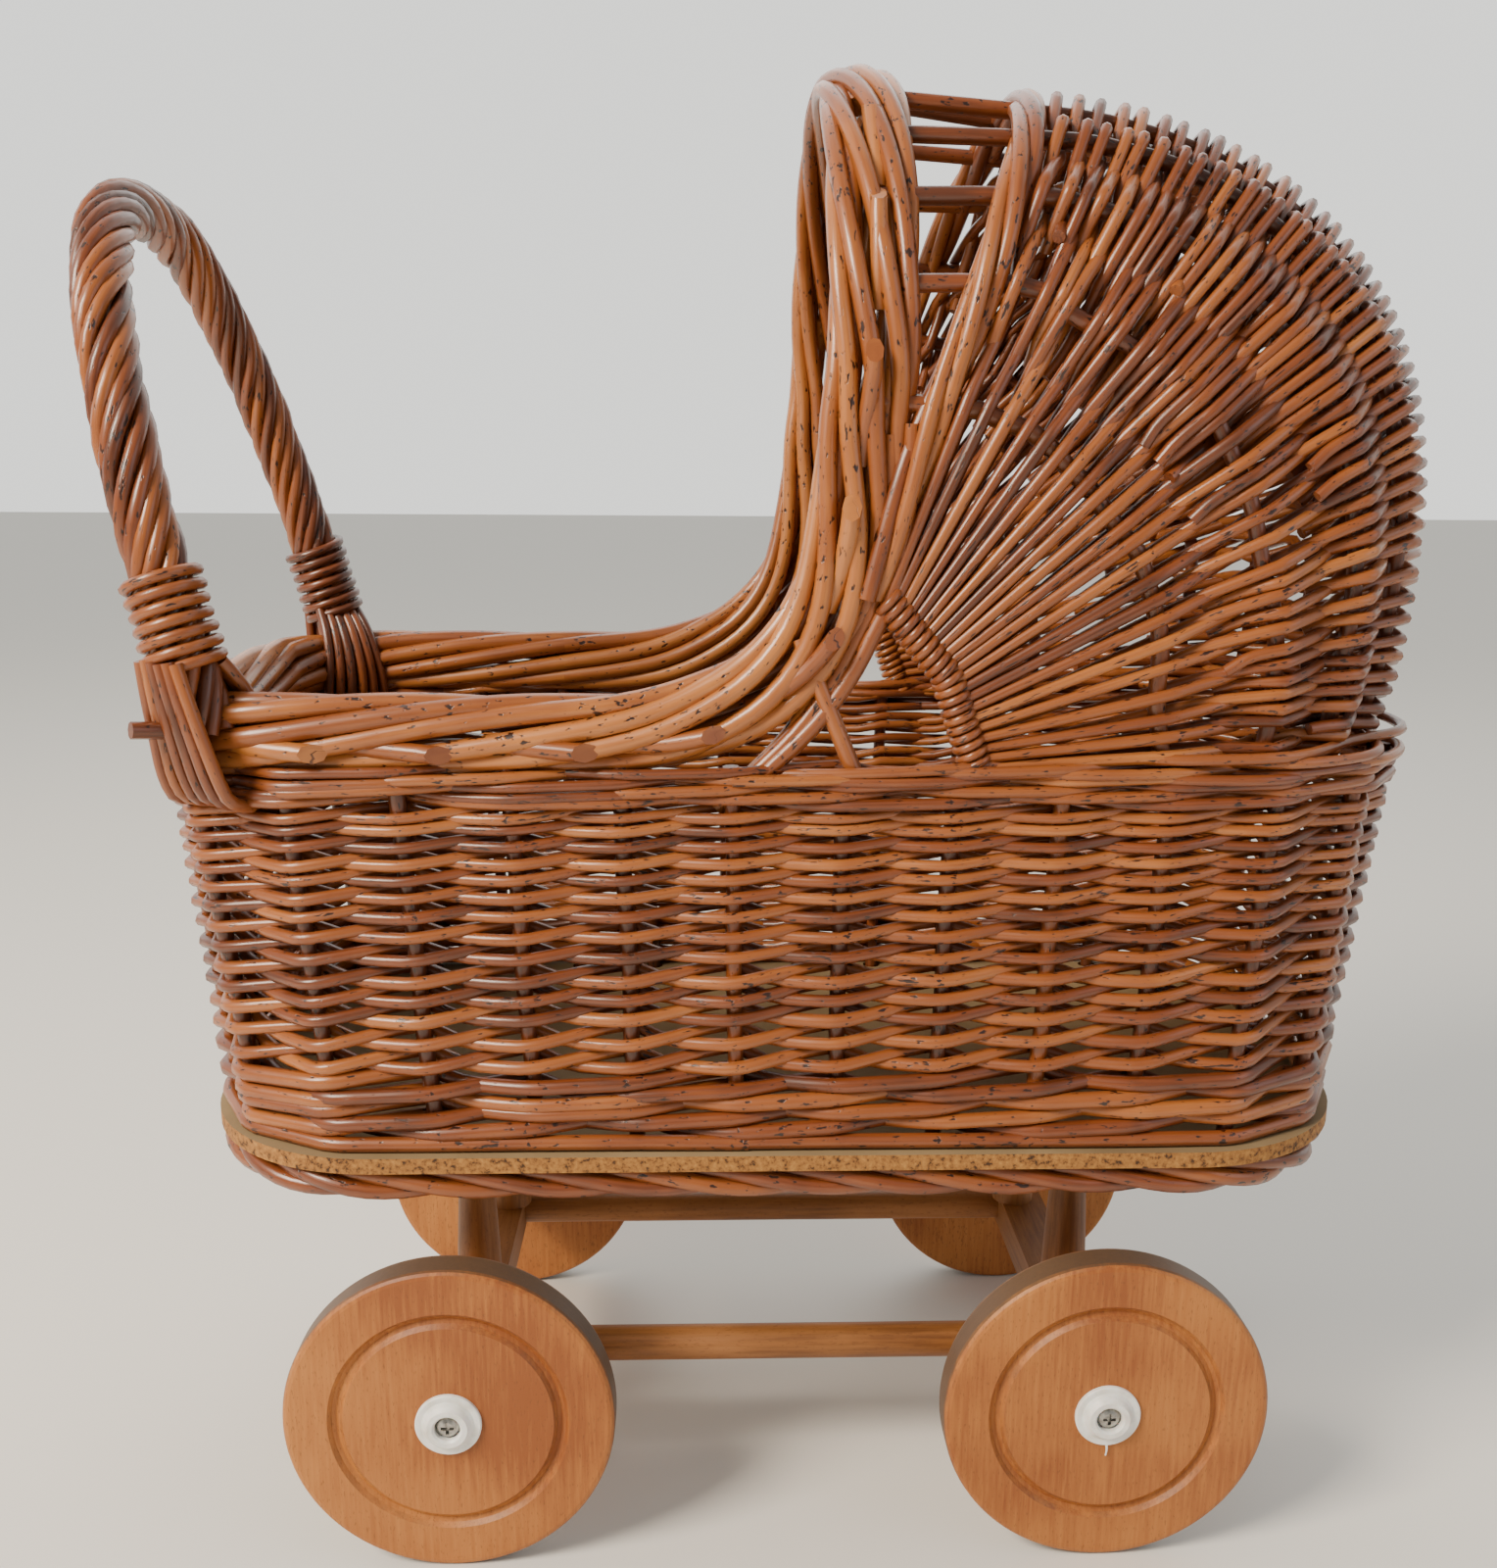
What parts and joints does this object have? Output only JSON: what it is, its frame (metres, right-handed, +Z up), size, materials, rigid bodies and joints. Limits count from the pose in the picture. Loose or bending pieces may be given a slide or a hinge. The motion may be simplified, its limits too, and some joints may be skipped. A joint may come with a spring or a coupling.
{
  "type": "doll stroller",
  "caption": "Doll's pram: oval wicker basket with a fixed woven hood and a roped handle on a turned wooden chassis with disc wheels.",
  "frame": {"origin": "on the floor under the middle of the whole pram's box", "axes": "+Z up; +X towards the hood end, so the handle is at -X; +Y across the pram"},
  "size_m": [0.5008, 0.2422, 0.5577],
  "materials": {
    "willow": "varnished, stained",
    "willow_dark": "varnished, stained",
    "board": "raw fibre board, brown face",
    "beech": "satin lacquer",
    "plastic": "moulded",
    "steel": "zinc plated"
  },
  "bodies": {
    "pram": {"base_board": "board", "foot_border": "willow", "side_stakes": "willow_dark", "bottom_wale": "willow", "side_weave": "willow", "top_wale": "willow", "rim_border": "willow", "hood_front_border": "willow", "hood_inner_hoop": "willow_dark", "hood_ribs": "willow_dark", "hood_weave": "willow", "fan_edge_near": "willow", "fan_edge_far": "willow", "window_stakes": "willow_dark", "handle": "willow_dark", "handle_binding_near": "willow_dark", "handle_binding_far": "willow_dark", "handle_lashing_near": "willow_dark", "handle_lashing_far": "willow_dark", "beam_handle_end": "beech", "beam_hood_end": "beech", "rail_near": "beech", "rail_far": "beech", "post_handle_near": "beech", "post_handle_far": "beech", "post_hood_near": "beech", "post_hood_far": "beech", "board_screws": "steel", "axle_screw_handle_near": "steel", "axle_screw_handle_far": "steel", "axle_screw_hood_near": "steel", "axle_screw_hood_far": "steel", "washer_handle_near": "steel", "washer_handle_far": "steel", "washer_hood_near": "steel", "washer_hood_far": "steel"},
    "wheel_handle_near": {"wheel_handle_near": "beech", "bush_handle_near": "plastic"},
    "wheel_handle_far": {"wheel_handle_far": "beech", "bush_handle_far": "plastic"},
    "wheel_hood_near": {"wheel_hood_near": "beech", "bush_hood_near": "plastic"},
    "wheel_hood_far": {"wheel_hood_far": "beech", "bush_hood_far": "plastic"}
  },
  "joints": [
    {"name": "wheel_handle_near_spin", "type": "hinge", "parent": "pram", "child": "wheel_handle_near", "pos_m": [-0.1222, -0.1045, 0.0625], "axis": [0, 1, 0], "continuous": true},
    {"name": "wheel_handle_far_spin", "type": "hinge", "parent": "pram", "child": "wheel_handle_far", "pos_m": [-0.1222, 0.1045, 0.0625], "axis": [0, 1, 0], "continuous": true},
    {"name": "wheel_hood_near_spin", "type": "hinge", "parent": "pram", "child": "wheel_hood_near", "pos_m": [0.1278, -0.1045, 0.0625], "axis": [0, 1, 0], "continuous": true},
    {"name": "wheel_hood_far_spin", "type": "hinge", "parent": "pram", "child": "wheel_hood_far", "pos_m": [0.1278, 0.1045, 0.0625], "axis": [0, 1, 0], "continuous": true}
  ]
}
